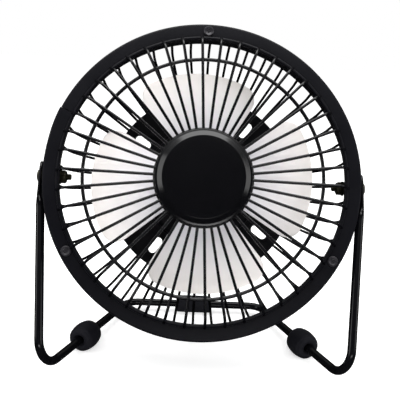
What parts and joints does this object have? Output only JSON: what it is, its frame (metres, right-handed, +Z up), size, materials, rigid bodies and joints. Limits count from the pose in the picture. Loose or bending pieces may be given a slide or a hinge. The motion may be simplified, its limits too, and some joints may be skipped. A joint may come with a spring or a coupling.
{
  "type": "desk fan",
  "caption": "Small metal desk fan: a wire-guarded ring with an aluminium blade wheel, tilting between the legs of a bent-rod stand on rubber feet.",
  "frame": {"origin": "on the surface the fan stands on, below the middle of its width and depth", "axes": "+Z up, -Y is the front that blows air, +X to the right as seen from the front"},
  "size_m": [0.1534, 0.0926, 0.1588],
  "materials": {
    "rod_black": "gloss black enamel on bent steel rod",
    "shell_black": "semi-gloss black powder coat on pressed steel",
    "wire_black": "semi-gloss black coat on steel wire",
    "foot_rubber": "matte moulded rubber",
    "screw_black": "black-coated steel",
    "blade_aluminium": "satin stamped sheet",
    "bolt_zinc": "dull yellow zinc plate",
    "motor_steel": "plated steel",
    "magnet": "matte ferrite",
    "copper": "enamelled copper",
    "bronze": "plain bronze and brass",
    "cover_plastic": "fine-textured moulding",
    "switch_plastic": "smooth moulding",
    "lead_red": "flexible insulation"
  },
  "bodies": {
    "stand": {"stand_frame": "rod_black", "foot_left": "foot_rubber", "foot_right": "foot_rubber", "foot_rear": "foot_rubber"},
    "head": {"ring_shell": "shell_black", "front_wires": "wire_black", "front_middle_ring": "wire_black", "front_hub_ring": "wire_black", "front_rim_ring": "wire_black", "front_cap": "shell_black", "guard_screws": "screw_black", "guard_lugs": "wire_black", "rear_wires": "wire_black", "rear_rim_ring": "wire_black", "rear_disc": "shell_black", "motor_housing": "shell_black", "motor_can": "motor_steel", "motor_magnets": "magnet", "motor_end_cap": "cover_plastic", "motor_screws": "bolt_zinc", "motor_brushes": "bronze", "front_bush": "bronze", "rear_bush": "bronze", "rear_cover": "cover_plastic", "cover_screws": "screw_black", "switch_body": "switch_plastic", "lead_wires": "lead_red", "cord_grommet": "foot_rubber", "pivot_bolts": "bolt_zinc", "pivot_spacers": "bolt_zinc", "pivot_bushes": "foot_rubber", "pivot_washers": "bolt_zinc", "pivot_nuts": "bolt_zinc"},
    "rotor": {"motor_shaft": "motor_steel", "armature_core": "motor_steel", "armature_windings": "copper", "commutator": "copper", "blade_wheel": "blade_aluminium", "blade_boss": "bronze"},
    "rocker": {"switch_rocker": "switch_plastic"}
  },
  "joints": [
    {"name": "head_tilt", "type": "hinge", "parent": "stand", "child": "head", "pos_m": [0, -0.0064, 0.0871], "axis": [1, 0, 0], "continuous": true},
    {"name": "blade_spin", "type": "hinge", "parent": "head", "child": "rotor", "pos_m": [0, -0.0064, 0.0871], "axis": [0, -0.9455, 0.3256], "continuous": true},
    {"name": "switch_rock", "type": "hinge", "parent": "head", "child": "rocker", "pos_m": [0, 0.03492, 0.08239], "axis": [-1, 0, 0], "range_deg": [0, 14]}
  ]
}
